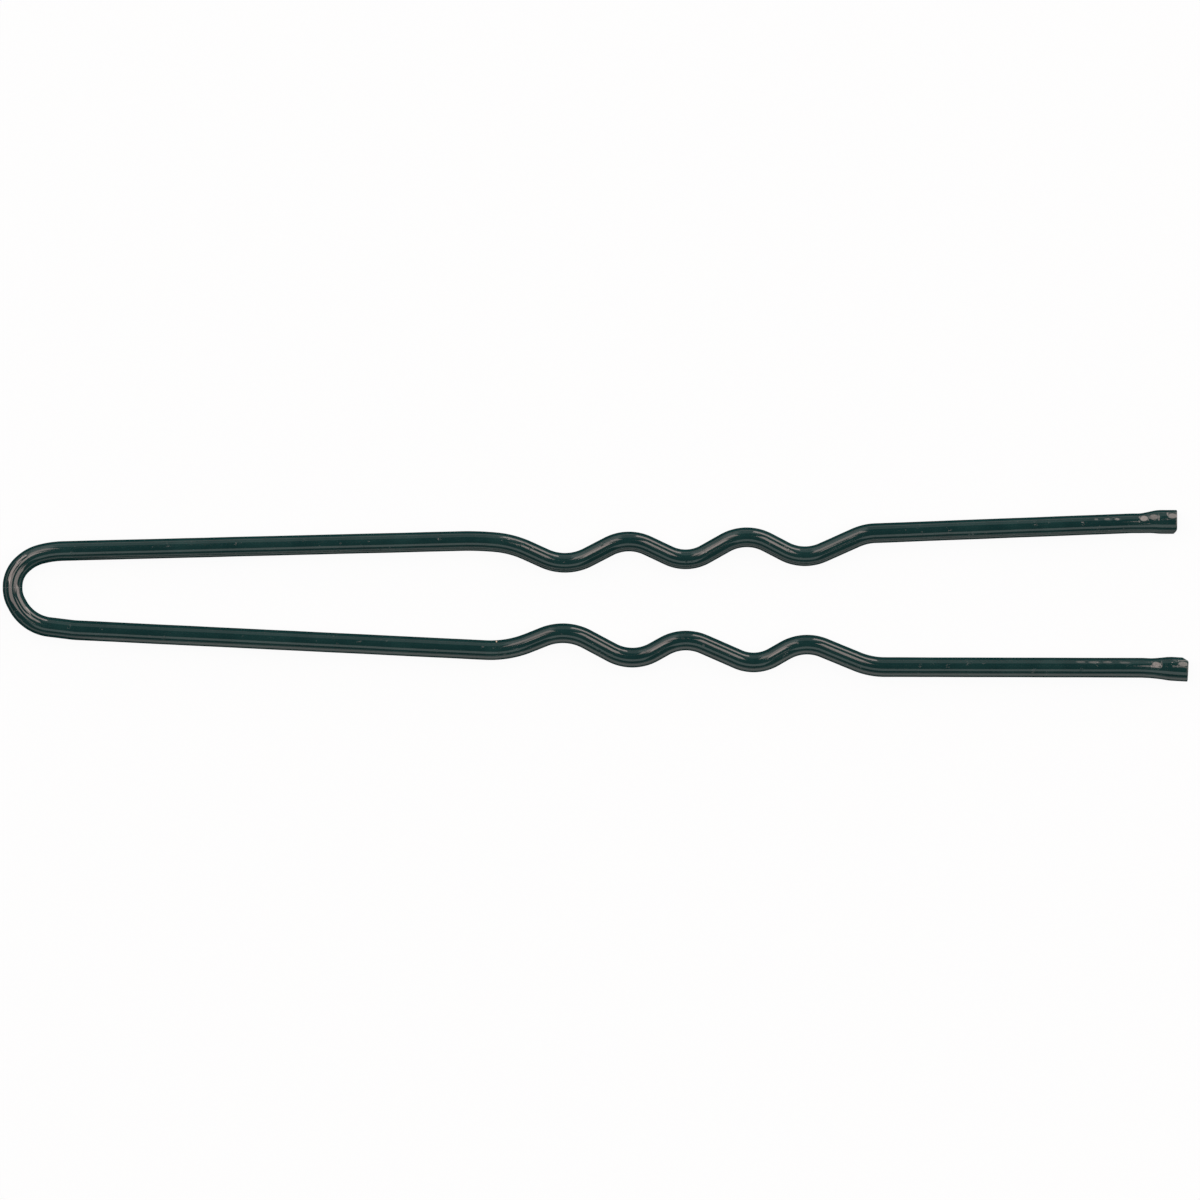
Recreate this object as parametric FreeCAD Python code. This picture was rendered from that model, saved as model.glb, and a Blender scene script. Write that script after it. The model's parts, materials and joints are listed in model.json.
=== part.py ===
import FreeCAD, Part

import math
import os
from collections import namedtuple

# A waved hair pin, in millimetres. One spring-steel wire is bent into a bow and two long legs, and the
# middle of each leg is crimped into a wave. A coat of lacquer covers the wire from end to end, and the
# cropped tips are dipped once more.
#
# The pin lies flat on Z = 0, with +X from the bow to the tips and +Y on the left leg's side. It is
# drawn from the middle of the bow's top, and then moved so that the origin is the middle of its outline.
#
# The wire bends in the shanks and twists in the bow. Each of these three places is a joint, where the
# wire and its lacquer are parted: a leg's round knuckle sits in the hollow end of its half of the bow,
# and the two halves of the bow meet face to face.

Vector = FreeCAD.Vector
UP = Vector(0, 0, 1)

# Wire and coats
WIRE_DIAMETER = 1.15
LACQUER_THICKNESS = 0.05

# Legs, each from the middle of the bow's top to the end of its tip, along the pin
LEFT_LEG_LENGTH = 73.7
RIGHT_LEG_LENGTH = 74.4

# Bow. A flank leaves the top's corner at its own angle to the pin, bends once on its way, and ends at
# the shoulder, where the shank starts
BOW_TOP_FLAT = 0.10
BOW_RADIUS = 1.9
FLANK_BEND_RADIUS = 2.65
SHOULDER_RADIUS = 6.0
LEFT_FLANK_ANGLE = 44.0
RIGHT_FLANK_ANGLE = 62.0
LEFT_FLANK_BEND_OFFSET = 1.95
RIGHT_FLANK_BEND_OFFSET = 2.34
LEFT_SHOULDER_ANGLE = 13.5
RIGHT_SHOULDER_ANGLE = 7.0
LEFT_SHOULDER_OFFSET = 2.29
RIGHT_SHOULDER_OFFSET = 2.70

# Wave, with its depth from corner to corner, before the corners are rounded
FIRST_CREST_STATION = 35.05
CREST_PITCH = 7.5
WAVE_DEPTH = 1.9
CRIMP_RADIUS = 2.8
LEFT_WAVE_OFFSET = 2.14
RIGHT_WAVE_OFFSET = 3.63
LEFT_SPLAY_ANGLE = 2.06
RIGHT_SPLAY_ANGLE = 2.33

# Corners of the wave, and of the bends into and out of it. Each has a station, in crest pitches past
# the first inner crest, a height, in wave depths outwards from the leg's middle line, and a radius, in
# crimp radii.
LEFT_CORNER_SHARES = (
    (-0.77, 0.54, 6.7),
    (-0.465, 0.41, 2.2),
    (0.0, -0.49, 1.12),
    (0.52, 0.50, 1.0),
    (1.02, -0.50, 0.9),
    (1.515, 0.53, 1.0),
    (2.0, -0.535, 1.0),
    (2.52, 0.31, 1.2),
)
RIGHT_CORNER_SHARES = (
    (-0.49, 0.29, 2.3),
    (-0.005, -0.56, 1.15),
    (0.56, 0.54, 1.0),
    (0.99, -0.47, 1.0),
    (1.60, 0.485, 0.9),
    (2.005, -0.49, 1.0),
    (2.565, 0.33, 1.7),
)

# End runs and tips. The shears bend the tip a little, squeeze the wire wider and crop its inner corner
LEFT_END_ANGLE = 2.2
RIGHT_END_ANGLE = 0.15
LEFT_TIP_ANGLE = 0.0
RIGHT_TIP_ANGLE = 3.0
TIP_BEND_RUN = 0.4
TIP_BEND_RADIUS = 8.0
TIP_LENGTH = 2.5
FLARE_LENGTH = 1.2
FLARE_STEPS = 4
TIP_SPREAD = 0.16
LEFT_TIP_SHIFT = 0.09
RIGHT_TIP_SHIFT = -0.03
LEFT_CROP_LENGTH = 0.16
RIGHT_CROP_LENGTH = 0.32
CROP_WIDTH = 0.17
TIP_COAT_LENGTH = 1.7
TIP_COAT_THICKNESS = 0.05
TIP_COAT_EDGE = 0.02
TIP_COAT_CHAMFER = 0.07

# Joints
PIVOT_STATION = 12.8
KNUCKLE_OVERSIZE = 0.03
RUNNING_GAP = 0.03
OVERRUN = 1.0

Leg = namedtuple(
    "Leg",
    "name side length flank_angle flank_bend_offset shoulder_angle shoulder_offset wave_offset "
    "splay_angle corner_shares end_angle tip_angle tip_shift crop_length",
)
Corner = namedtuple("Corner", "point radius")

LEFT = Leg(
    name="left",
    side=1,
    length=LEFT_LEG_LENGTH,
    flank_angle=LEFT_FLANK_ANGLE,
    flank_bend_offset=LEFT_FLANK_BEND_OFFSET,
    shoulder_angle=LEFT_SHOULDER_ANGLE,
    shoulder_offset=LEFT_SHOULDER_OFFSET,
    wave_offset=LEFT_WAVE_OFFSET,
    splay_angle=LEFT_SPLAY_ANGLE,
    corner_shares=LEFT_CORNER_SHARES,
    end_angle=LEFT_END_ANGLE,
    tip_angle=LEFT_TIP_ANGLE,
    tip_shift=LEFT_TIP_SHIFT,
    crop_length=LEFT_CROP_LENGTH,
)
RIGHT = Leg(
    name="right",
    side=-1,
    length=RIGHT_LEG_LENGTH,
    flank_angle=RIGHT_FLANK_ANGLE,
    flank_bend_offset=RIGHT_FLANK_BEND_OFFSET,
    shoulder_angle=RIGHT_SHOULDER_ANGLE,
    shoulder_offset=RIGHT_SHOULDER_OFFSET,
    wave_offset=RIGHT_WAVE_OFFSET,
    splay_angle=RIGHT_SPLAY_ANGLE,
    corner_shares=RIGHT_CORNER_SHARES,
    end_angle=RIGHT_END_ANGLE,
    tip_angle=RIGHT_TIP_ANGLE,
    tip_shift=RIGHT_TIP_SHIFT,
    crop_length=RIGHT_CROP_LENGTH,
)

WIRE_RADIUS = WIRE_DIAMETER / 2
OUTER_RADIUS = WIRE_RADIUS + LACQUER_THICKNESS
KNUCKLE_RADIUS = OUTER_RADIUS + KNUCKLE_OVERSIZE


def along(angle):
    """The direction at an angle to the pin's length, anticlockwise from above."""
    turn = math.radians(angle)
    return Vector(math.cos(turn), math.sin(turn), 0)


def end_corners(leg, last_corner):
    """The bend where the end run meets the tip, and the point where the tip starts."""
    run_ahead = along(leg.side * leg.end_angle)
    tip_ahead = along(leg.side * leg.tip_angle)
    tip_reach = (TIP_LENGTH + TIP_BEND_RUN) * tip_ahead.x
    end_run = (leg.length - tip_reach - last_corner.x) / run_ahead.x
    bend = last_corner + run_ahead * end_run
    return [Corner(bend, TIP_BEND_RADIUS), Corner(bend + tip_ahead * TIP_BEND_RUN, 0)]


def corners(leg):
    """One leg's centre line from the bow's top to the tip, as corners that are still sharp."""
    flank = math.radians(leg.flank_angle)
    half_top = BOW_TOP_FLAT / 2 + BOW_RADIUS * math.tan((math.pi / 2 - flank) / 2)
    bend_station = (leg.flank_bend_offset - half_top) / math.tan(flank)
    widening = leg.shoulder_offset - leg.flank_bend_offset
    shoulder_station = bend_station + widening / math.tan(math.radians(leg.shoulder_angle))
    found = [
        Corner(Vector(0, leg.side * RUNNING_GAP / 2, 0), 0),
        Corner(Vector(0, leg.side * half_top, 0), BOW_RADIUS),
        Corner(Vector(bend_station, leg.side * leg.flank_bend_offset, 0), FLANK_BEND_RADIUS),
        Corner(Vector(shoulder_station, leg.side * leg.shoulder_offset, 0), SHOULDER_RADIUS),
    ]
    for station_share, height_share, radius_share in leg.corner_shares:
        run = station_share * CREST_PITCH
        middle_line = leg.wave_offset + run * math.tan(math.radians(leg.splay_angle))
        offset = middle_line + height_share * WAVE_DEPTH
        point = Vector(FIRST_CREST_STATION + run, leg.side * offset, 0)
        found.append(Corner(point, radius_share * CRIMP_RADIUS))
    return found + end_corners(leg, found[-1].point)


def rounded_path(sharp):
    """Straight runs joined by tangent arcs."""
    edges = []
    last = sharp[0].point
    for before, corner, after in zip(sharp, sharp[1:], sharp[2:]):
        back = (before.point - corner.point).normalize()
        ahead = (after.point - corner.point).normalize()
        half_turn = (math.pi - back.getAngle(ahead)) / 2
        tangent = corner.radius * math.tan(half_turn)
        height = corner.radius / math.cos(half_turn) - corner.radius
        start = corner.point + back * tangent
        middle = corner.point + (back + ahead).normalize() * height
        end = corner.point + ahead * tangent
        edges.append(Part.LineSegment(last, start).toShape())
        edges.append(Part.Arc(start, middle, end).toShape())
        last = end
    edges.append(Part.LineSegment(last, sharp[-1].point).toShape())
    return Part.Wire(edges)


def rod(leg, grow):
    """The round wire from the bow's top to the tip, made thicker all round by grow."""
    sharp = corners(leg)
    start = sharp[0].point
    circle = Part.Circle(start, sharp[1].point - start, WIRE_RADIUS + grow)
    return rounded_path(sharp).makePipeShell([Part.Wire(circle.toShape())], True, False)


def tip_section(leg, distance, grow):
    """The squeezed wire's outline across the tip, in the tip's own frame, made larger by grow."""
    share = min(distance / FLARE_LENGTH, 1)
    squeeze = share * share * (3 - 2 * share)
    half_width = (WIRE_DIAMETER + TIP_SPREAD * squeeze) / 2
    half_height = WIRE_RADIUS * WIRE_RADIUS / half_width
    centre = Vector(distance, leg.side * leg.tip_shift * squeeze, 0)
    side = centre + Vector(0, half_width + grow, 0)
    top = centre + Vector(0, 0, half_height + grow)
    return Part.Wire(Part.Ellipse(side, top, centre).toShape())


def crop(leg, end, grow):
    """The block that takes the inner corner off the tip, moved outwards by grow."""
    half_width = (WIRE_DIAMETER + TIP_SPREAD) / 2
    slope = math.atan2(CROP_WIDTH, leg.crop_length)
    block = Part.makeBox(2 * OVERRUN, OVERRUN, 2 * OVERRUN, Vector(-OVERRUN, -OVERRUN - grow, -OVERRUN))
    block.rotate(Vector(0, 0, 0), UP, math.degrees(slope))
    block.translate(Vector(end - leg.crop_length, leg.tip_shift - half_width, 0))
    if leg.side < 0:
        block = block.mirror(Vector(0, 0, 0), Vector(0, 1, 0))
    return block


def placed_at_tip(leg, shape):
    """A shape of the tip's own frame, moved to the end of the leg's path."""
    turn = FreeCAD.Rotation(UP, leg.side * leg.tip_angle)
    shape.Placement = FreeCAD.Placement(corners(leg)[-1].point, turn)
    return shape


def tip(leg, start, grow, edge_grow, chamfer):
    """The squeezed end of the wire, or a coat on it, from start to its end."""
    core_end = TIP_LENGTH - LACQUER_THICKNESS - TIP_COAT_THICKNESS
    end = core_end + grow
    steps = [FLARE_LENGTH * step / FLARE_STEPS for step in range(1, FLARE_STEPS + 1)]
    sections = [tip_section(leg, start, edge_grow)]
    sections += [tip_section(leg, step, grow) for step in steps if step > start]
    sections.append(tip_section(leg, end - chamfer, grow))
    if chamfer:
        sections.append(tip_section(leg, end, grow - chamfer))
    return Part.makeLoft(sections, True, True).cut(crop(leg, core_end, grow))


def one_solid(shape):
    """The only solid of a finished piece."""
    return shape.removeSplitter().Solids[0]


def coated(leg, grow):
    """One leg's wire with its tip and half of the bow, made thicker all round by grow."""
    end = placed_at_tip(leg, tip(leg, 0, grow, grow, 0))
    return one_solid(rod(leg, grow).fuse(end))


def tip_coat(leg, lacquered):
    """The dipped cap over the end of the lacquered wire."""
    start = TIP_LENGTH - TIP_COAT_LENGTH
    grow = LACQUER_THICKNESS + TIP_COAT_THICKNESS
    cap = tip(leg, start, grow, LACQUER_THICKNESS + TIP_COAT_EDGE, TIP_COAT_CHAMFER)
    return one_solid(placed_at_tip(leg, cap).cut(lacquered))


def shank(leg):
    """Where the leg's straight shank starts, at the shoulder, and where it ends."""
    return [corner.point for corner in corners(leg)[3:5]]


def pivot(leg):
    """Where the leg's joint crosses the shank."""
    start, end = shank(leg)
    share = (PIVOT_STATION - start.x) / (end.x - start.x)
    return start + (end - start) * share


def block_at_pivot(leg, direction):
    """A block that holds all of the leg on one side of the joint, towards the tip for +1."""
    size = leg.length
    near_side = size * (direction - 1) / 2
    block = Part.makeBox(size, size, size, Vector(near_side, -size / 2, -size / 2))
    start, end = shank(leg)
    ahead = end - start
    turn = FreeCAD.Rotation(UP, math.degrees(math.atan2(ahead.y, ahead.x)))
    block.Placement = FreeCAD.Placement(pivot(leg), turn)
    return block


def knuckle(leg, radius):
    """The upright cylinder on the joint's axis."""
    half_height = KNUCKLE_RADIUS + OVERRUN
    return Part.makeCylinder(radius, 2 * half_height, pivot(leg) - UP * half_height)


def bow_end(leg, shape):
    """The bow's side of the joint, hollow where the knuckle turns."""
    hollow = knuckle(leg, KNUCKLE_RADIUS + RUNNING_GAP)
    return one_solid(shape.cut((block_at_pivot(leg, 1), hollow)))


def leg_end(leg, shape):
    """The leg's side of the joint, with its round knuckle."""
    before = block_at_pivot(leg, -1).cut(knuckle(leg, KNUCKLE_RADIUS))
    return one_solid(shape.cut(before))


def pieces(leg):
    """All the pieces of one leg and its half of the bow, by name."""
    wire = coated(leg, 0)
    lacquered = coated(leg, LACQUER_THICKNESS)
    lacquer = lacquered.cut(wire)
    return {
        f"{leg.name}_bow_wire": bow_end(leg, wire),
        f"{leg.name}_leg_wire": leg_end(leg, wire),
        f"{leg.name}_bow_lacquer": bow_end(leg, lacquer),
        f"{leg.name}_leg_lacquer": leg_end(leg, lacquer),
        f"{leg.name}_tip_coat": tip_coat(leg, lacquered),
    }


def origin(made):
    """The middle of the pin's outline, on the surface that it lies on."""
    box = Part.makeCompound(list(made.values())).optimalBoundingBox(False)
    return Vector(box.Center.x, box.Center.y, -OUTER_RADIUS)


def main():
    os.makedirs("parts", exist_ok=True)
    made = {**pieces(LEFT), **pieces(RIGHT)}
    middle = origin(made)
    for name, shape in made.items():
        shape.translate(middle * -1)
        shape.exportStep(f"parts/{name}.step")
        print(name, "volume", round(shape.Volume, 4), "valid", shape.isValid())
    print("bow top at", Vector(0, 0, 0) - middle)
    for leg in (LEFT, RIGHT):
        print(leg.name, "pivot at", pivot(leg) - middle)


main()
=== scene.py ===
import json
import math
from collections import namedtuple

import bpy
import numpy as np
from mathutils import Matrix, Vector, noise


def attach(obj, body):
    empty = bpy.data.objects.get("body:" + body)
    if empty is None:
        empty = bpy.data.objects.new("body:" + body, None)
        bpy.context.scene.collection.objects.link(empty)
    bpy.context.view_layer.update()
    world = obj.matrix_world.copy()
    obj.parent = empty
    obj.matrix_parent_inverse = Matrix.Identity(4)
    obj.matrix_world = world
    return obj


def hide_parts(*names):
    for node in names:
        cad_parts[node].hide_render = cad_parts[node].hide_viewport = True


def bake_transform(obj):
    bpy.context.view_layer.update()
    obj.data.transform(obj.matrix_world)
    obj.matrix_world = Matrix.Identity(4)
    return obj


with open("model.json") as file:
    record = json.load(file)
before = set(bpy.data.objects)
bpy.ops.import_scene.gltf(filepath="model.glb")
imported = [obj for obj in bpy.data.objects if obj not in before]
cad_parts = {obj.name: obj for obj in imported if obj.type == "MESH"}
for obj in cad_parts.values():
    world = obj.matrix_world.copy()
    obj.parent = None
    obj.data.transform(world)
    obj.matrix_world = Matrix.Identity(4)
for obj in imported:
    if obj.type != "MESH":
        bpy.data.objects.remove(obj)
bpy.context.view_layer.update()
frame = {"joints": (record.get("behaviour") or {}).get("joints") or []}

# A waved hair pin of spring-steel wire under dark bottle-green lacquer, lying on a pale floor and seen
# from straight above. Every length is in metres. The pin is drawn from the middle of the bow's top, with
# +X from the bow to the tips and +Y on the left leg's side, and then moved to where the bow's joint is.

MM = 0.001
UM = 0.000001

# Wire and coats
WIRE_RADIUS = 0.575 * MM
LACQUER_THICKNESS = 0.05 * MM
TIP_COAT_THICKNESS = 0.05 * MM

# Bow
BOW_TOP_FLAT = 0.10 * MM
BOW_RADIUS = 1.9 * MM
FLANK_BEND_RADIUS = 2.65 * MM
SHOULDER_RADIUS = 6.0 * MM

# The halves of the bow are this far apart at its top, so that their end faces don't touch
BOW_SEAM = 0.002 * MM

# Wave
FIRST_CREST_STATION = 35.05 * MM
CREST_PITCH = 7.5 * MM
WAVE_DEPTH = 1.9 * MM
CRIMP_RADIUS = 2.8 * MM

# Corners of the wave: station in crest pitches, height in wave depths, radius in crimp radii
LEFT_CORNER_SHARES = (
    (-0.77, 0.54, 6.7),
    (-0.465, 0.41, 2.2),
    (0.0, -0.49, 1.12),
    (0.52, 0.50, 1.0),
    (1.02, -0.50, 0.9),
    (1.515, 0.53, 1.0),
    (2.0, -0.535, 1.0),
    (2.52, 0.31, 1.2),
)
RIGHT_CORNER_SHARES = (
    (-0.49, 0.29, 2.3),
    (-0.005, -0.56, 1.15),
    (0.56, 0.54, 1.0),
    (0.99, -0.47, 1.0),
    (1.60, 0.485, 0.9),
    (2.005, -0.49, 1.0),
    (2.565, 0.33, 1.7),
)

# Tips
TIP_BEND_RUN = 0.4 * MM
TIP_BEND_RADIUS = 8.0 * MM
TIP_LENGTH = 2.5 * MM
FLARE_LENGTH = 1.2 * MM
THINNING_LEAD = 1.6 * MM
THINNING_LENGTH = 4.0 * MM
TIP_SPREAD = 0.16 * MM
CROP_WIDTH = 0.17 * MM
TIP_COAT_LENGTH = 1.7 * MM
TIP_COAT_EDGE = 0.004 * MM
TIP_COAT_EDGE_LENGTH = 0.70 * MM
TIP_COAT_CHAMFER = 0.07 * MM

# Mesh. Hidden surfaces have only every few of the rings
RING_STEP = 0.1 * MM
TIP_RING_STEP = 0.03 * MM
RING_POINTS = 72
WIRE_RING_POINTS = 24
HIDDEN_RING_STRIDE = 4
END_ROUND_STEPS = 5
END_FACE_SHARES = (0.75, 0.4)
SHARP_ANGLE = 50

# Unevenness of the lacquer: how high, and how long and how wide each swelling is
SWELL_HEIGHT = 0.007 * MM
SWELL_LENGTH = 2.6 * MM
SWELL_WIDTH = 0.9 * MM
RIPPLE_HEIGHT = 0.0015 * MM
RIPPLE_LENGTH = 0.7 * MM
RIPPLE_WIDTH = 0.5 * MM

# Each leg takes its unevenness from its own place in the noise
NOISE_SHIFT = 10

Leg = namedtuple(
    "Leg",
    "name side length flank_angle flank_bend_offset shoulder_angle shoulder_offset wave_offset "
    "splay_angle corner_shares end_angle tip_angle tip_shift crop_length marks flats",
)
Corner = namedtuple("Corner", "point radius")

# A small dent (height below zero) or blob in the surface. Station is along the pin, turn is the angle
# round the wire from its outer side over the top, length and width are those of half of the mark.
Mark = namedtuple("Mark", "station turn height length width")

# A flat that was pressed or knocked into the surface. Depth is how far its middle lies below the round,
# length is half of its length, lean is its slope towards the tip, in degrees, and the last number is how
# far a pale colour is painted over the flat as a highlight, in place of the light that it reflects.
Flat = namedtuple("Flat", "station turn depth length lean pale")
FLAT_EDGE = 0.07 * MM
FLAT_BEVEL = 0.012 * MM

# Where the lacquer is chipped off the right leg
CHIP_STATION = 30.66 * MM
CHIP_TURN = 155

LEFT = Leg(
    name="left",
    side=1,
    length=73.7 * MM,
    flank_angle=44.0,
    flank_bend_offset=1.95 * MM,
    shoulder_angle=13.5,
    shoulder_offset=2.29 * MM,
    wave_offset=2.14 * MM,
    splay_angle=2.06,
    corner_shares=LEFT_CORNER_SHARES,
    end_angle=2.2,
    tip_angle=0.0,
    tip_shift=0.09 * MM,
    crop_length=0.16 * MM,
    marks=(),
    flats=(
        Flat(71.60 * MM, 62, 0.030 * MM, 0.25 * MM, 2, 0.95),
        Flat(72.22 * MM, 63, 0.030 * MM, 0.29 * MM, 2, 0.60),
        Flat(73.40 * MM, 58, 0.030 * MM, 0.28 * MM, 2, 0.70),
        Flat(69.92 * MM, 60, 0.006 * MM, 0.15 * MM, 6, 0.6),
        Flat(69.30 * MM, 58, 0.005 * MM, 0.20 * MM, 7, 0.35),
        Flat(68.60 * MM, 56, 0.004 * MM, 0.12 * MM, 7, 0.35),
    ),
)
RIGHT = Leg(
    name="right",
    side=-1,
    length=74.4 * MM,
    flank_angle=62.0,
    flank_bend_offset=2.34 * MM,
    shoulder_angle=7.0,
    shoulder_offset=2.70 * MM,
    wave_offset=3.63 * MM,
    splay_angle=2.33,
    corner_shares=RIGHT_CORNER_SHARES,
    end_angle=0.15,
    tip_angle=3.0,
    tip_shift=-0.03 * MM,
    crop_length=0.32 * MM,
    marks=(Mark(CHIP_STATION, CHIP_TURN, -0.03 * MM, 0.06 * MM, 0.12 * MM),),
    flats=(
        Flat(72.38 * MM, 113, 0.028 * MM, 0.27 * MM, 4, 0.85),
        Flat(74.06 * MM, 118, 0.028 * MM, 0.30 * MM, 4, 0.65),
        Flat(67.60 * MM, 126, 0.004 * MM, 0.30 * MM, 3, 0.3),
        Flat(68.45 * MM, 124, 0.005 * MM, 0.35 * MM, 2, 0.35),
        Flat(69.30 * MM, 125, 0.004 * MM, 0.30 * MM, 3, 0.3),
        Flat(70.40 * MM, 122, 0.004 * MM, 0.35 * MM, 2, 0.25),
    ),
)


def joint_place(name):
    """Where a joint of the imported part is."""
    (joint,) = [joint for joint in frame["joints"] if joint["name"] == name]
    return Vector(joint["pos_m"])


BOW_TOP = joint_place("bow_twist")


def flat(x, y):
    """A point or direction seen from above."""
    return Vector((x, y))


def along(angle):
    """The direction at an angle to the pin's length, anticlockwise from above."""
    turn = math.radians(angle)
    return flat(math.cos(turn), math.sin(turn))


def end_corners(leg, last_corner):
    """The bend where the end run meets the tip, and the point where the tip starts."""
    run_ahead = along(leg.side * leg.end_angle)
    tip_ahead = along(leg.side * leg.tip_angle)
    tip_reach = (TIP_LENGTH + TIP_BEND_RUN) * tip_ahead.x
    end_run = (leg.length - tip_reach - last_corner.x) / run_ahead.x
    bend = last_corner + run_ahead * end_run
    return [Corner(bend, TIP_BEND_RADIUS), Corner(bend + tip_ahead * TIP_BEND_RUN, 0)]


def corners(leg):
    """One leg's centre line from the bow's top to the tip, as corners that are still sharp."""
    flank = math.radians(leg.flank_angle)
    half_top = BOW_TOP_FLAT / 2 + BOW_RADIUS * math.tan((math.pi / 2 - flank) / 2)
    bend_station = (leg.flank_bend_offset - half_top) / math.tan(flank)
    widening = leg.shoulder_offset - leg.flank_bend_offset
    shoulder_station = bend_station + widening / math.tan(math.radians(leg.shoulder_angle))
    found = [
        Corner(flat(0, leg.side * BOW_SEAM / 2), 0),
        Corner(flat(0, leg.side * half_top), BOW_RADIUS),
        Corner(flat(bend_station, leg.side * leg.flank_bend_offset), FLANK_BEND_RADIUS),
        Corner(flat(shoulder_station, leg.side * leg.shoulder_offset), SHOULDER_RADIUS),
    ]
    for station_share, height_share, radius_share in leg.corner_shares:
        run = station_share * CREST_PITCH
        middle_line = leg.wave_offset + run * math.tan(math.radians(leg.splay_angle))
        offset = middle_line + height_share * WAVE_DEPTH
        point = flat(FIRST_CREST_STATION + run, leg.side * offset)
        found.append(Corner(point, radius_share * CRIMP_RADIUS))
    return found + end_corners(leg, found[-1].point)


def eased(share):
    """A share held between zero and one, with a soft start and end."""
    share = min(max(share, 0), 1)
    return share * share * (3 - 2 * share)


def steps_along(start, end, step):
    """Places from start up to end, no more than a step apart, with the directions there."""
    count = math.ceil((end - start).length / step)
    ahead = (end - start).normalized()
    return [(start.lerp(end, i / count), ahead) for i in range(count)]


def steps_round(start, ahead, turn, radius, step):
    """Places round an arc that starts in one direction and turns by an angle, with the directions."""
    count = math.ceil(abs(turn) * radius / step)
    inward = flat(-ahead.y, ahead.x) * math.copysign(1, turn)
    centre = start + inward * radius
    found = []
    for i in range(count):
        spin = turn * i / count
        cos, sin = math.cos(spin), math.sin(spin)
        arm = start - centre
        arm = flat(arm.x * cos - arm.y * sin, arm.x * sin + arm.y * cos)
        found.append((centre + arm, flat(ahead.x * cos - ahead.y * sin, ahead.x * sin + ahead.y * cos)))
    return found


def rounded_path(sharp, step):
    """The places and directions along straight runs joined by tangent arcs."""
    found = []
    last = sharp[0].point
    for before, corner, after in zip(sharp, sharp[1:], sharp[2:]):
        ahead = (corner.point - before.point).normalized()
        leaving = (after.point - corner.point).normalized()
        turn = math.atan2(ahead.x * leaving.y - ahead.y * leaving.x, ahead.dot(leaving))
        tangent = corner.radius * math.tan(abs(turn) / 2)
        start = corner.point - ahead * tangent
        found += steps_along(last, start, step)
        found += steps_round(start, ahead, turn, corner.radius, step)
        last = corner.point + leaving * tangent
    return found + steps_along(last, sharp[-1].point, step)


class CentreLine:
    """One leg's wire without its coats: a row of oval sections from the bow's top to the tip's end."""

    def __init__(self, leg):
        self.leg = leg
        path = rounded_path(corners(leg), RING_STEP)
        tip_start = corners(leg)[-1].point
        tip_ahead = along(leg.side * leg.tip_angle)
        core_end = TIP_LENGTH - LACQUER_THICKNESS - TIP_COAT_THICKNESS
        self.core_end = core_end
        count = math.ceil(core_end / TIP_RING_STEP)
        in_tip = [core_end * i / count for i in range(count + 1)]
        path += [(tip_start + tip_ahead * distance, tip_ahead) for distance in in_tip]
        self.places = np.array([place for place, ahead in path])
        self.ahead = np.array([ahead for place, ahead in path])
        gaps = np.linalg.norm(np.diff(self.places, axis=0), axis=1)
        self.run = np.concatenate([[0], np.cumsum(gaps)])
        self.tip_run = self.run[-1] - core_end

    def section(self, run):
        """The centre, the direction and the half width and height of the wire at a run from the bow."""
        beyond = max(run - self.run[-1], 0)
        place = np.array([np.interp(run, self.run, self.places[:, i]) for i in (0, 1)])
        ahead = np.array([np.interp(run, self.run, self.ahead[:, i]) for i in (0, 1)])
        ahead /= np.linalg.norm(ahead)
        place = place + ahead * beyond
        squeeze = eased((run - self.tip_run) / FLARE_LENGTH)
        half_width = WIRE_RADIUS + TIP_SPREAD * squeeze / 2
        thinning = eased((run - self.tip_run + THINNING_LEAD) / THINNING_LENGTH)
        half_height = WIRE_RADIUS * WIRE_RADIUS / (WIRE_RADIUS + TIP_SPREAD * thinning / 2)
        return place, ahead, half_width, half_height, self.leg.tip_shift * squeeze

    def crop_line(self, run, grow):
        """How far out the crop has cut the tip's inner side away, for a surface grown by that much."""
        slope = math.atan2(CROP_WIDTH, self.leg.crop_length)
        start = self.tip_run + self.core_end - self.leg.crop_length
        corner = self.leg.tip_shift - WIRE_RADIUS - TIP_SPREAD / 2
        return corner + (run - start) * math.tan(slope) - grow / math.cos(slope)


def swell(leg, run, turn):
    """The height of the lacquer's unevenness, which fades out at the bow's top where the halves meet."""
    across = Vector((0, math.cos(turn), math.sin(turn))) * WIRE_RADIUS
    seed = Vector((0, 0, leg.side * NOISE_SHIFT))
    long_wave = noise.noise(Vector((run / SWELL_LENGTH, 0, 0)) + across / SWELL_WIDTH + seed)
    short_wave = noise.noise(Vector((run / RIPPLE_LENGTH, 0, 0)) + across / RIPPLE_WIDTH - seed)
    fade = min(run / SWELL_LENGTH, 1)
    return (long_wave * SWELL_HEIGHT + short_wave * RIPPLE_HEIGHT) * fade


def marks_height(leg, station, turn):
    """The height that the leg's dents and blobs add to the surface at a place on it."""
    height = 0
    for mark in leg.marks:
        lengthwise = (station - mark.station) / mark.length
        aside = math.remainder(turn - math.radians(mark.turn), math.tau)
        crosswise = aside * WIRE_RADIUS / mark.width
        height += mark.height * math.exp(-lengthwise * lengthwise - crosswise * crosswise)
    return height


def pressed_flat(leg, station, half_width, half_height, aside, height):
    """A point of a ring, moved in to the flats that reach it. All measures are from the wire's middle."""
    for mark in leg.flats:
        past = station - mark.station
        within = min(max((mark.length + FLAT_EDGE - abs(past)) / FLAT_EDGE, 0), 1)
        if not within:
            continue
        turn = math.radians(mark.turn)
        cos, sin = math.cos(turn), math.sin(turn)
        round_reach = math.hypot(half_width * cos, half_height * sin)
        flat_reach = round_reach - mark.depth - past * math.tan(math.radians(mark.lean))
        excess = aside * cos + height * sin - flat_reach
        cut = (excess + math.hypot(excess, FLAT_BEVEL)) / 2 * within
        aside -= cut * cos
        height -= cut * sin
    return aside, height


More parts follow.
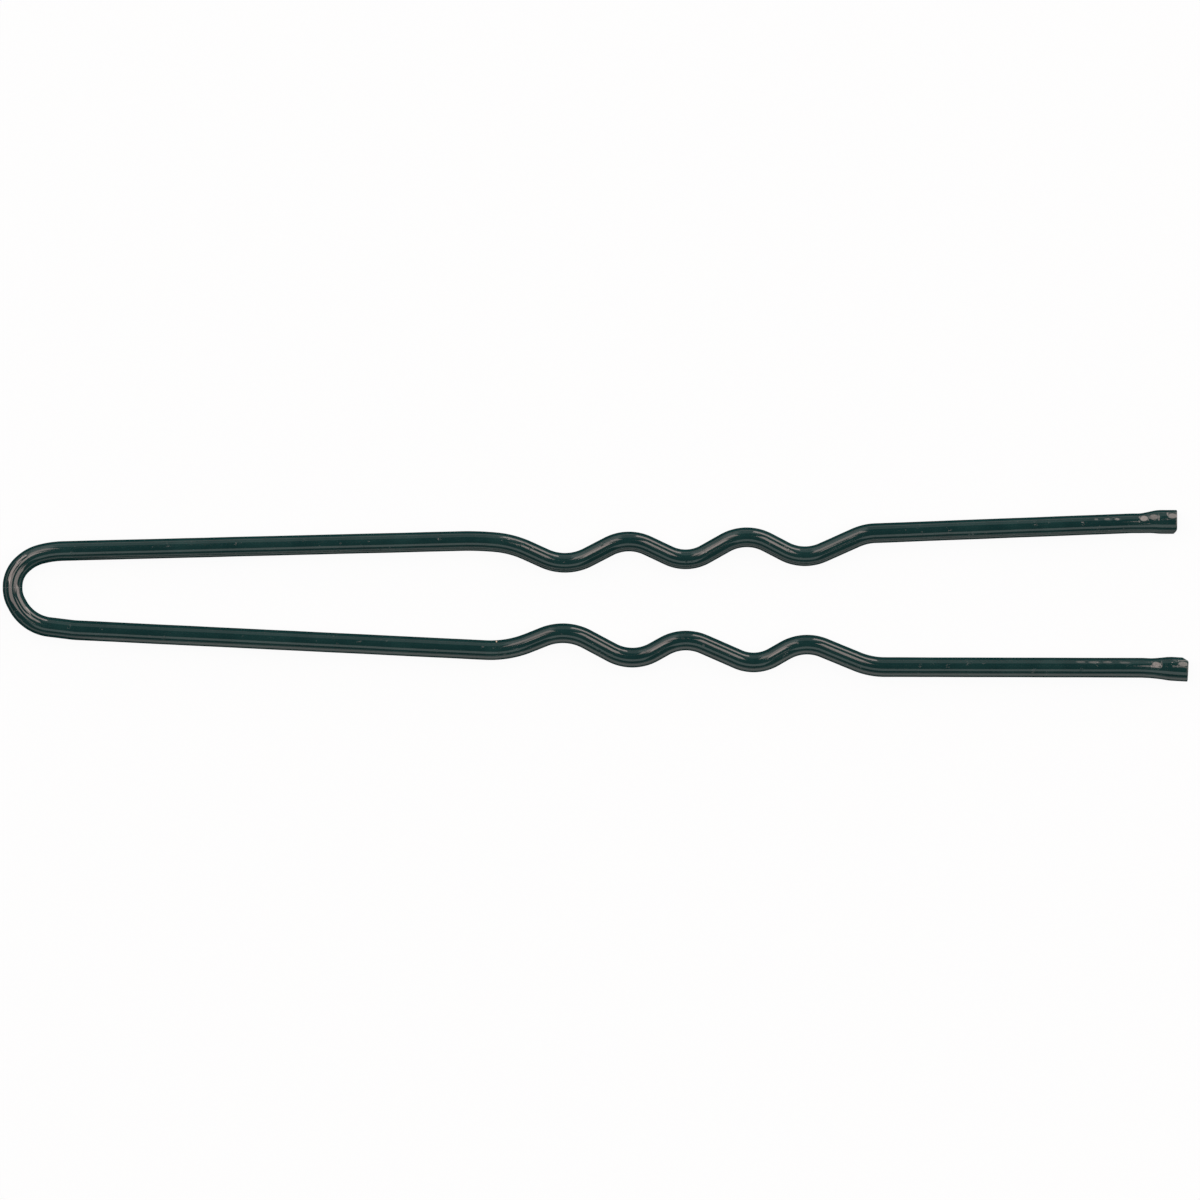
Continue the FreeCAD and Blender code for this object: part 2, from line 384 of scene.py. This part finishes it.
class Skin:
    """Rings of points that close into one solid's surface, with a last point at each end."""

    def __init__(self, line, ring_points=RING_POINTS):
        self.line = line
        self.ring_points = ring_points
        self.points = []
        self.straight = []

    def add_ring(self, run, grow, uneven=False, share=1):
        """One ring round the wire. Share shrinks it towards its middle, for an end face."""
        place, ahead, half_width, half_height, shift = self.line.section(run)
        out = np.array([-ahead[1], ahead[0]]) * self.line.leg.side
        crop = self.line.crop_line(run, grow)
        for i in range(self.ring_points):
            turn = math.tau * i / self.ring_points
            aside = (half_width + grow) * math.cos(turn)
            height = (half_height + grow) * math.sin(turn)
            if uneven:
                leg = self.line.leg
                lift = swell(leg, run, turn) + marks_height(leg, place[0], turn)
                aside += lift * math.cos(turn)
                height += lift * math.sin(turn)
                grown = half_width + grow, half_height + grow
                aside, height = pressed_flat(leg, place[0], *grown, aside, height)
            aside = max(aside * share + shift, crop)
            height *= share
            spot = place + out * aside
            self.points.append(BOW_TOP + Vector((spot[0], spot[1], height)))
            self.straight.append((run, aside, height))

    def add_end(self, run):
        """The point in the middle of an end face."""
        place, ahead, half_width, half_height, shift = self.line.section(run)
        out = np.array([-ahead[1], ahead[0]]) * self.line.leg.side
        spot = place + out * shift
        self.points.append(BOW_TOP + Vector((spot[0], spot[1], 0)))
        self.straight.append((run, shift, 0))

    def piece(self, name, material):
        """The skin as a closed mesh object."""
        around = self.ring_points
        rings = (len(self.points) - 2) // around
        last = len(self.points) - 1
        faces = []
        for i in range(around):
            j = (i + 1) % around
            faces.append((0, 1 + j, 1 + i))
            for ring in range(rings - 1):
                here = 1 + ring * around
                there = here + around
                faces.append((here + i, here + j, there + j, there + i))
            here = 1 + (rings - 1) * around
            faces.append((here + i, here + j, last))
        if self.line.leg.side > 0:
            faces = [face[::-1] for face in faces]
        mesh = bpy.data.meshes.new(name)
        mesh.from_pydata(self.points, [], faces)
        mesh.validate()
        mesh.shade_smooth()
        mesh.set_sharp_from_angle(angle=math.radians(SHARP_ANGLE))
        straight = mesh.attributes.new("wire_place", "FLOAT_VECTOR", "POINT")
        straight.data.foreach_set("vector", np.array(self.straight, np.float32).ravel())
        mesh.materials.append(material)
        piece = bpy.data.objects.new(name, mesh)
        bpy.context.scene.collection.objects.link(piece)
        return piece


def even_rings(skin, runs, grow):
    """Rings with no unevenness."""
    for run in runs:
        skin.add_ring(run, grow)


def hidden_runs(line):
    """The few rings along the wire that a surface out of sight needs."""
    return [*line.run[:-1:HIDDEN_RING_STRIDE], line.run[-1]]


def end_face(skin, run, grow, uneven):
    """Smaller and smaller rings across the end of a piece."""
    for share in END_FACE_SHARES:
        skin.add_ring(run, grow, uneven, share)


def wire_piece(line, material):
    """The bare steel wire, from the bow's top to the cropped end."""
    skin = Skin(line, WIRE_RING_POINTS)
    skin.add_end(0)
    even_rings(skin, hidden_runs(line), 0)
    skin.add_end(line.run[-1])
    return skin.piece(line.leg.name + "_wire", material)


def lacquer_piece(line, material):
    """The coat on the wire. It is open inside where the wire is."""
    end = line.run[-1] + LACQUER_THICKNESS
    skin = Skin(line)
    skin.add_end(line.run[-1])
    even_rings(skin, hidden_runs(line)[::-1], 0)
    for run in line.run:
        skin.add_ring(run, LACQUER_THICKNESS, uneven=True)
    skin.add_ring(end, LACQUER_THICKNESS)
    end_face(skin, end, LACQUER_THICKNESS, False)
    skin.add_end(end)
    return skin.piece(line.leg.name + "_lacquer", material)


def coat_thickness(beyond_edge):
    """How thick the dipped coat is at a distance past its own edge."""
    rise = eased(beyond_edge / TIP_COAT_EDGE_LENGTH)
    return TIP_COAT_EDGE + (TIP_COAT_THICKNESS - TIP_COAT_EDGE) * rise


def tip_coat_piece(line, material):
    """The dipped cap over the lacquered tip."""
    inner_end = line.run[-1] + LACQUER_THICKNESS
    end = inner_end + TIP_COAT_THICKNESS
    start = end - TIP_COAT_LENGTH
    count = math.ceil((inner_end - start) / TIP_RING_STEP)
    runs = np.linspace(start, inner_end, count + 1)
    skin = Skin(line)
    skin.add_end(inner_end)
    even_rings(skin, runs[::-1], LACQUER_THICKNESS)
    for run in runs:
        if run < end - TIP_COAT_CHAMFER:
            skin.add_ring(run, LACQUER_THICKNESS + coat_thickness(run - start), uneven=True)
    for i in range(END_ROUND_STEPS + 1):
        bend = math.pi / 2 * i / END_ROUND_STEPS
        run = end - TIP_COAT_CHAMFER * (1 - math.sin(bend))
        grow = LACQUER_THICKNESS + TIP_COAT_THICKNESS - TIP_COAT_CHAMFER * (1 - math.cos(bend))
        skin.add_ring(run, grow, uneven=True)
    end_face(skin, end, LACQUER_THICKNESS + TIP_COAT_THICKNESS - TIP_COAT_CHAMFER, True)
    skin.add_end(end)
    return skin.piece(line.leg.name + "_tip_dip", material)


# Colours and finish
STEEL_DARK = (0.30, 0.29, 0.27, 1)
STEEL_PALE = (0.52, 0.51, 0.49, 1)
LACQUER_DEEP = (0.0051, 0.0286, 0.0286, 1)
LACQUER_THIN = (0.0086, 0.0377, 0.0366, 1)
DUST_GREY = (0.046, 0.069, 0.066, 1)
# A pale colour painted on the flats near the tips as a highlight, in place of the light they reflect
PAINTED_FLAT_HIGHLIGHT = (0.285, 0.275, 0.257, 1)
PRIMER_TAN = (0.48, 0.40, 0.30, 1)
SHEEN_TINT = (1.0, 0.90, 0.85, 1)
LACQUER_IOR = 1.6
STEEL_IOR = 2.5

# Patterns. Detail and roughness are those of the noise. Below and above are the values of the noise
# between which a finish changes from one kind to the other
GRAIN_DETAIL = 2
GRAIN_ROUGHNESS = 0.5
MOTTLE_SIZE = 1.4 * MM
MOTTLE_DETAIL = 3
MOTTLE_DEEP_BELOW = 0.35
MOTTLE_THIN_ABOVE = 0.68
STREAK_SIZE = 0.09 * MM
STREAK_STRETCH = 0.06
STREAK_DETAIL = 3
STREAK_ROUGHNESS = 0.6
GLOSSY_BELOW = 0.35
HAZY_ABOVE = 0.75
GLOSSY_ROUGHNESS = 0.06
HAZY_ROUGHNESS = 0.11
STEEL_DARK_BELOW = 0.3
STEEL_PALE_ABOVE = 0.7
STEEL_DARK_ROUGHNESS = 0.3
STEEL_PALE_ROUGHNESS = 0.45
PEEL_SIZE = 0.35 * MM
PEEL_DETAIL = 1
PEEL_DEPTH = 0.8 * UM
SCRATCH_SIZE = 0.05 * MM
SCRATCH_STRETCH = 0.03
SCRATCH_DETAIL = 2
SCRATCH_ROUGHNESS = 0.7
SCRATCH_DEPTH = 0.1 * UM

# Spots. They crowd where the noise is above a value, and reach is the size of the largest, in cells
CELL_MIDDLE = (0.5, 0.5, 0.5)
CROWD_SIZE = 0.6 * MM
CROWD_ABOVE = 0.50
SCUFF_SIZE = 0.15 * MM
SCUFF_STRETCH = 0.5
SCUFF_SLOPE = 0.28
SCUFF_REACH = 0.42
SCUFF_EDGE = 0.12
SCUFF_CROWD_FULL = 0.72
DUST_SIZE = 0.11 * MM
DUST_STRETCH = 0.55
DUST_DETAIL = 3
DUST_REACH = 0.42
DUST_EDGE = 0.25
DUST_CROWD_FULL = 0.75

# Painted highlights on the flats, and the chip
HIGHLIGHT_EDGE = 0.25
CHIP_LENGTH = 0.055 * MM
CHIP_WIDTH = 0.14 * MM
CHIP_RAGGED = 0.5
CHIP_WHOLE_BEYOND = 1.35
CHIP_BARE_WITHIN = 1.15

# The gloss at the wire's rims, which face away from above, is duller than in its middle. It is dullest
# on the side of each leg that faces +Y, and all round in the bow
FACING_BLEND = 0.5
GLOSS_FACING = 0.17
DULL_RIM_FACING = 0.40
GLOSSY_RIM_FACING = 0.58
GLOSS_LEVEL = 0.8
RIM_LEVEL = 0.0
SIDE_WIDTH = 0.2 * MM
BOW_RUN = 3.0 * MM
SHANK_RUN = 9.0 * MM

# Sockets of the mix node for colours
COLOUR_UNDER = 6
COLOUR_OVER = 7
COLOUR_RESULT = 2


def add(tree, kind, inputs, **settings):
    """A shader node. An input is a value, or another node's output to link to."""
    made = tree.nodes.new("ShaderNode" + kind)
    for name, value in settings.items():
        setattr(made, name, value)
    for name, value in inputs.items():
        if isinstance(value, bpy.types.NodeSocket):
            tree.links.new(value, made.inputs[name])
        else:
            made.inputs[name].default_value = value
    return made


def ramp(tree, factor, stops):
    """A colour ramp between two (position, colour) stops."""
    made = add(tree, "ValToRGB", {"Fac": factor})
    for element, (position, colour) in zip(made.color_ramp.elements, stops):
        element.position = position
        element.color = colour
    return made.outputs["Color"]


def spread(tree, value, low, high, to_low, to_high):
    """A value mapped from one range onto another, smoothly at both ends."""
    inputs = {
        "Value": value,
        "From Min": low,
        "From Max": high,
        "To Min": to_low,
        "To Max": to_high,
    }
    return add(tree, "MapRange", inputs, interpolation_type="SMOOTHSTEP").outputs["Result"]


def new_material(name):
    """A material with its node tree, its principled shader, and the place along the straightened wire."""
    material = bpy.data.materials.new(name)
    material.use_nodes = True
    tree = material.node_tree
    tree.nodes.clear()
    shader = add(tree, "BsdfPrincipled", {})
    add(tree, "OutputMaterial", {"Surface": shader.outputs["BSDF"]})
    place = add(tree, "Attribute", {}, attribute_name="wire_place").outputs["Vector"]
    return material, tree, shader, place


def stretched(tree, place, stretch):
    """The place with its run along the wire shortened, so that a pattern on it is drawn out."""
    inputs = {0: place, 1: (stretch, 1, 1)}
    return add(tree, "VectorMath", inputs, operation="MULTIPLY").outputs["Vector"]


def grain(tree, place, size, detail=GRAIN_DETAIL, roughness=GRAIN_ROUGHNESS):
    """A soft random pattern with features of one size."""
    inputs = {"Vector": place, "Scale": 1 / size, "Detail": detail, "Roughness": roughness}
    return add(tree, "TexNoise", inputs).outputs["Fac"]


def streaked(tree, place):
    """Fine streaks along the wire."""
    drawn_out = stretched(tree, place, STREAK_STRETCH)
    return grain(tree, drawn_out, STREAK_SIZE, STREAK_DETAIL, STREAK_ROUGHNESS)


def bump(tree, height, depth, below=None):
    """A surface raised by a height times a depth, on top of another bump."""
    inputs = {"Height": height, "Distance": depth, "Strength": 1.0}
    if below:
        inputs["Normal"] = below
    return add(tree, "Bump", inputs).outputs["Normal"]


def vector(tree, operation, first, second=None):
    """The result of a sum on vectors."""
    inputs = {0: first}
    if second is not None:
        inputs[1] = second
    made = add(tree, "VectorMath", inputs, operation=operation)
    return made.outputs["Value" if operation in ("LENGTH", "DOT_PRODUCT") else "Vector"]


def number(tree, operation, *terms):
    """The result of a sum on numbers."""
    return add(tree, "Math", dict(enumerate(terms)), operation=operation).outputs["Value"]


def mixed(tree, share, under, over):
    """One colour over another, by a share from zero to one."""
    inputs = {"Factor": share, COLOUR_UNDER: under, COLOUR_OVER: over}
    return add(tree, "Mix", inputs, data_type="RGBA").outputs[COLOUR_RESULT]


def spots(tree, place, size, crowd, reach, edge):
    """Round spots at random places, which grow where a crowding value is high, and their cells."""
    cells = add(tree, "TexVoronoi", {"Vector": place, "Scale": 1 / size})
    radius = number(tree, "MULTIPLY", crowd, reach)
    inside = number(tree, "SUBTRACT", radius, cells.outputs["Distance"])
    return spread(tree, inside, 0.0, edge, 0.0, 1.0), cells


def scuffs(tree, place):
    """The height, in metres, of small flats from handling. Each is tilted its own way."""
    long_place = stretched(tree, place, SCUFF_STRETCH)
    crowd = spread(tree, grain(tree, place, CROWD_SIZE), CROWD_ABOVE, SCUFF_CROWD_FULL, 0.0, 1.0)
    inside, cells = spots(tree, long_place, SCUFF_SIZE, crowd, SCUFF_REACH, SCUFF_EDGE)
    offset = vector(tree, "SUBTRACT", long_place, cells.outputs["Position"])
    tilt = vector(tree, "SUBTRACT", cells.outputs["Color"], CELL_MIDDLE)
    rise = number(tree, "MULTIPLY", vector(tree, "DOT_PRODUCT", offset, tilt), inside)
    return number(tree, "MULTIPLY", rise, SCUFF_SLOPE)


def dust(tree, place):
    """Where pale dust is caught in the lacquer."""
    drift = grain(tree, place, CROWD_SIZE, DUST_DETAIL)
    crowd = spread(tree, drift, CROWD_ABOVE, DUST_CROWD_FULL, 0.0, 1.0)
    long_place = stretched(tree, place, DUST_STRETCH)
    return spots(tree, long_place, DUST_SIZE, crowd, DUST_REACH, DUST_EDGE)[0]


def oval_reach(tree, place, centre, half_length, half_width):
    """How far out of an oval's middle a place lies, where 1 is on its line."""
    offset = vector(tree, "SUBTRACT", place, centre)
    scaled = vector(tree, "MULTIPLY", offset, (1 / half_length, 1 / half_width, 1 / half_width))
    return vector(tree, "LENGTH", scaled)


def highlight_mask(tree, place, centre, half_length, half_width, edge):
    """An oval patch of the surface, by how far its soft edge reaches in, where a painted highlight lies.
    """
    reach = oval_reach(tree, place, centre, half_length, half_width)
    return spread(tree, reach, 1.0 + edge, 1.0 - edge, 0.0, 1.0)


def chip_mask(tree, place, chip):
    """Where the lacquer is chipped off."""
    reach = oval_reach(tree, place, chip, CHIP_LENGTH, CHIP_WIDTH)
    edge = number(tree, "MULTIPLY_ADD", grain(tree, place, CHIP_LENGTH), CHIP_RAGGED, reach)
    return spread(tree, edge, CHIP_WHOLE_BEYOND, CHIP_BARE_WITHIN, 0.0, 1.0)


def rim_gloss(tree, place, side):
    """The specular level, which falls towards the rims and further on the dull side."""
    run, aside, height = add(tree, "SeparateXYZ", {0: place}).outputs
    dull = spread(tree, aside, -side * SIDE_WIDTH, side * SIDE_WIDTH, 0.0, 1.0)
    dull = number(tree, "MAXIMUM", dull, spread(tree, run, BOW_RUN, SHANK_RUN, 1.0, 0.0))
    rim = spread(tree, dull, 0.0, 1.0, GLOSSY_RIM_FACING, DULL_RIM_FACING)
    facing = add(tree, "LayerWeight", {"Blend": FACING_BLEND}).outputs["Facing"]
    return spread(tree, facing, GLOSS_FACING, rim, GLOSS_LEVEL, RIM_LEVEL)


def lacquer_material(name, side, highlight_patches, chip=None):
    """Glossy baked lacquer: deep bottle green, a little mottled, with streaks, scuffs and dust, and a
    painted highlight, a pale colour, on each flat.
    """
    material, tree, shader, place = new_material(name)
    mottle = grain(tree, place, MOTTLE_SIZE, MOTTLE_DETAIL)
    stops = (MOTTLE_DEEP_BELOW, LACQUER_DEEP), (MOTTLE_THIN_ABOVE, LACQUER_THIN)
    colour = ramp(tree, mottle, stops)
    colour = mixed(tree, dust(tree, place), colour, DUST_GREY)
    # Painted highlight: each flat is laid over with a pale colour, which stands in for the light it
    # reflects
    for centre, half_length, half_width, pale in highlight_patches:
        inside = highlight_mask(tree, place, centre, half_length, half_width, HIGHLIGHT_EDGE)
        colour = mixed(tree, number(tree, "MULTIPLY", inside, pale), colour, PAINTED_FLAT_HIGHLIGHT)
    limits = GLOSSY_BELOW, HAZY_ABOVE, GLOSSY_ROUGHNESS, HAZY_ROUGHNESS
    rough = spread(tree, streaked(tree, place), *limits)
    if chip:
        bare = chip_mask(tree, place, chip)
        colour = mixed(tree, bare, colour, PRIMER_TAN)
        rough = number(tree, "MAXIMUM", rough, bare)
    tree.links.new(colour, shader.inputs["Base Color"])
    tree.links.new(rough, shader.inputs["Roughness"])
    tree.links.new(rim_gloss(tree, place, side), shader.inputs["Specular IOR Level"])
    shader.inputs["IOR"].default_value = LACQUER_IOR
    shader.inputs["Specular Tint"].default_value = SHEEN_TINT
    peel = bump(tree, grain(tree, place, PEEL_SIZE, PEEL_DETAIL), PEEL_DEPTH)
    drawn_out = stretched(tree, place, SCRATCH_STRETCH)
    scratches = grain(tree, drawn_out, SCRATCH_SIZE, SCRATCH_DETAIL, SCRATCH_ROUGHNESS)
    scratched = bump(tree, scratches, SCRATCH_DEPTH, peel)
    scuffed = bump(tree, scuffs(tree, place), 1.0, scratched)
    tree.links.new(scuffed, shader.inputs["Normal"])
    return material


def steel_material():
    """Drawn spring steel, streaked along the wire."""
    material, tree, shader, place = new_material("drawn_steel")
    streaks = streaked(tree, place)
    stops = (STEEL_DARK_BELOW, STEEL_DARK), (STEEL_PALE_ABOVE, STEEL_PALE)
    limits = STEEL_DARK_BELOW, STEEL_PALE_ABOVE, STEEL_DARK_ROUGHNESS, STEEL_PALE_ROUGHNESS
    tree.links.new(ramp(tree, streaks, stops), shader.inputs["Base Color"])
    tree.links.new(spread(tree, streaks, *limits), shader.inputs["Roughness"])
    tree.links.new(bump(tree, streaks, PEEL_DEPTH), shader.inputs["Normal"])
    shader.inputs["Metallic"].default_value = 1.0
    shader.inputs["IOR"].default_value = STEEL_IOR
    return material


def surface_place(line, station, turn, grow):
    """The place of a mark on the straightened wire."""
    run = float(np.interp(station, line.places[:, 0], line.run))
    place, ahead, half_width, half_height, shift = line.section(run)
    across = math.radians(turn)
    aside = (half_width + grow) * math.cos(across) + shift
    return (run, aside, (half_height + grow) * math.sin(across))


def painted_highlights(line, grow):
    """Each flat's middle, half of its length and width as seen, and how strongly its painted highlight
    covers it.
    """
    found = []
    for mark in line.leg.flats:
        middle = surface_place(line, mark.station, mark.turn, grow)
        half_width = math.sqrt(2 * WIRE_RADIUS * mark.depth)
        found.append((middle, mark.length, half_width, mark.pale))
    return found


def make_leg(leg, steel):
    """All the pieces of one leg and its half of the bow."""
    line = CentreLine(leg)
    chip = None
    if leg is RIGHT:
        chip = surface_place(line, CHIP_STATION, CHIP_TURN, LACQUER_THICKNESS)
    # The flats' painted highlights, on the lacquer and on the dipped coat
    highlight_patches = painted_highlights(line, LACQUER_THICKNESS)
    lacquer = lacquer_material(leg.name + "_lacquer", leg.side, highlight_patches, chip)
    highlight_patches = painted_highlights(line, LACQUER_THICKNESS + TIP_COAT_THICKNESS)
    dip = lacquer_material(leg.name + "_tip_dip", leg.side, highlight_patches)
    name = leg.name
    for piece, part, slot in (
        (wire_piece(line, steel), "wire", "steel"),
        (lacquer_piece(line, lacquer), "lacquer", "lacquer"),
    ):
        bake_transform(piece)
        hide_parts(f"{name}_bow_{part}", f"{name}_leg_{part}")
    coat = tip_coat_piece(line, dip)
    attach(coat, name + "_leg")
    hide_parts(name + "_tip_coat")


# Studio
WHITE = (1, 1, 1, 1)
FLOOR_RADIUS = 2.2
FLOOR_INNER_SHARE = 0.125
COVE_RADIUS = 0.15
WALL_HEIGHT = 0.30
FLOOR_POINTS = 96
COVE_STEPS = 8
FLOOR_GREY = (0.88, 0.88, 0.88, 1)
FLOOR_WHITE = (0.9, 0.9, 0.9, 1)
FIBRE_SIZE = 0.4 * MM
FIBRE_GREY_BELOW = 0.3
FIBRE_WHITE_ABOVE = 0.7
FLOOR_GLOW = 0.94
LAMP_DISTANCE = 1.1
VIEW_WIDTH = 75.95 * MM
VIEW_CENTRE = (0.275 * MM, -0.266 * MM)

# In millimetres, as the camera takes them
LENS = 900
SENSOR = 36

# Softboxes by azimuth from +X towards +Y and zenith, in degrees, with the angles that they span there
# across and down, how bright they look, where 1 is white, and their tint
Softbox = namedtuple("Softbox", "name azimuth zenith across down brightness tint")
WARM = (1.0, 0.88, 0.87)
COOL = (0.86, 1.0, 1.02)
SOFTBOXES = (
    Softbox("left_key", 155, 49, 26, 30, 2.97, WARM),
    Softbox("left_wing", 132, 64, 13, 24, 3.06, WARM),
    Softbox("left_strip", 113, 42, 16, 24, 1.75, WARM),
    Softbox("left_small", 126, 24, 11, 16, 2.62, WARM),
    Softbox("left_haze", 115, 68, 30, 24, 0.38, COOL),
    Softbox("bow_side", 184, 28, 24, 38, 1.92, WARM),
    Softbox("right_key", 24, 62, 46, 36, 2.54, WARM),
    Softbox("right_low", 60, 77, 42, 20, 2.80, WARM),
    Softbox("right_side", -22, 39, 34, 28, 1.92, WARM),
    Softbox("right_crown", -22, 18, 16, 16, 1.84, WARM),
    Softbox("right_strip", 61, 30, 12, 20, 2.27, WARM),
    Softbox("right_small", 44, 18, 12, 10, 2.01, WARM),
    Softbox("near_fill", -97, 33, 32, 24, 0.65, COOL),
    Softbox("near_low", -90, 76, 110, 18, 0.31, COOL),
    Softbox("far_fill", 97, 64, 40, 32, 0.28, COOL),
)
AMBIENT = (0.0245, 0.028, 0.028, 1)


def floor_material():
    """White paper. What is seen of it glows a little, so that it stays white and keeps a faint shadow."""
    material = bpy.data.materials.new("floor_paper")
    material.use_nodes = True
    tree = material.node_tree
    tree.nodes.clear()
    coords = add(tree, "TexCoord", {}).outputs["Object"]
    stops = (FIBRE_GREY_BELOW, FLOOR_GREY), (FIBRE_WHITE_ABOVE, FLOOR_WHITE)
    matt = add(tree, "BsdfDiffuse", {"Color": ramp(tree, grain(tree, coords, FIBRE_SIZE), stops)})
    glow = add(tree, "Emission", {"Color": WHITE, "Strength": 1.0})
    path = add(tree, "LightPath", {})
    seen = path.outputs["Is Camera Ray"]
    for kind in ("Is Glossy Ray", "Is Transmission Ray"):
        seen = number(tree, "ADD", seen, path.outputs[kind])
    share = add(tree, "Math", {0: seen, 1: FLOOR_GLOW}, operation="MULTIPLY", use_clamp=True)
    inputs = {"Fac": share.outputs["Value"], 1: matt.outputs["BSDF"], 2: glow.outputs["Emission"]}
    paper = add(tree, "MixShader", inputs)
    add(tree, "OutputMaterial", {"Surface": paper.outputs["Shader"]})
    return material


def make_floor():
    """A round white floor under the pin, which curves up into a low wall."""
    profile = [(0, 0), (FLOOR_RADIUS * FLOOR_INNER_SHARE, 0), (FLOOR_RADIUS, 0)]
    for i in range(1, COVE_STEPS + 1):
        bend = math.pi / 2 * i / COVE_STEPS
        profile.append((FLOOR_RADIUS + COVE_RADIUS * math.sin(bend), COVE_RADIUS * (1 - math.cos(bend))))
    profile.append((FLOOR_RADIUS + COVE_RADIUS, WALL_HEIGHT))
    points = [(0, 0, 0)]
    for radius, height in profile[1:]:
        for i in range(FLOOR_POINTS):
            turn = math.tau * i / FLOOR_POINTS
            points.append((radius * math.cos(turn), radius * math.sin(turn), height))
    faces = []
    for i in range(FLOOR_POINTS):
        j = (i + 1) % FLOOR_POINTS
        faces.append((0, 1 + i, 1 + j))
        for ring in range(len(profile) - 2):
            here = 1 + ring * FLOOR_POINTS
            there = here + FLOOR_POINTS
            faces.append((here + i, there + i, there + j, here + j))
    mesh = bpy.data.meshes.new("floor")
    mesh.from_pydata(points, [], faces)
    mesh.shade_smooth()
    mesh.materials.append(floor_material())
    floor = bpy.data.objects.new("floor", mesh)
    bpy.context.scene.collection.objects.link(floor)


def direction(azimuth, zenith):
    """The direction at an azimuth from +X towards +Y and at an angle down from straight up."""
    turn, tilt = math.radians(azimuth), math.radians(zenith)
    return Vector((math.sin(tilt) * math.cos(turn), math.sin(tilt) * math.sin(turn), math.cos(tilt)))


def lamp_span(angle):
    """The size of a lamp that spans an angle as seen from the pin."""
    return 2 * LAMP_DISTANCE * math.tan(math.radians(angle) / 2)


def make_softbox(box):
    """A rectangular lamp that faces the pin."""
    light = bpy.data.lights.new(box.name, "AREA")
    light.shape = "RECTANGLE"
    light.size = lamp_span(box.across)
    light.size_y = lamp_span(box.down)
    light.color = box.tint
    light.energy = box.brightness * math.pi * light.size * light.size_y
    lamp = bpy.data.objects.new(box.name, light)
    towards = direction(box.azimuth, box.zenith)
    lamp.location = towards * LAMP_DISTANCE
    lamp.rotation_euler = towards.to_track_quat("Z", "Y").to_euler()
    lamp.visible_camera = False
    bpy.context.scene.collection.objects.link(lamp)


def make_world():
    """A dim surround, which keeps what mirrors no lamp from going black."""
    world = bpy.data.worlds.new("studio")
    world.use_nodes = True
    world.node_tree.nodes["Background"].inputs["Color"].default_value = AMBIENT
    bpy.context.scene.world = world


def make_camera():
    """A long lens straight above the pin."""
    data = bpy.data.cameras.new("camera")
    data.lens = LENS
    data.sensor_width = SENSOR
    camera = bpy.data.objects.new("camera", data)
    height = BOW_TOP.z + VIEW_WIDTH * LENS / SENSOR
    camera.location = (*VIEW_CENTRE, height)
    bpy.context.scene.collection.objects.link(camera)
    bpy.context.scene.camera = camera


steel = steel_material()
for leg in (LEFT, RIGHT):
    make_leg(leg, steel)
make_floor()
for box in SOFTBOXES:
    make_softbox(box)
make_world()
make_camera()
bpy.context.scene.view_settings.view_transform = "Standard"
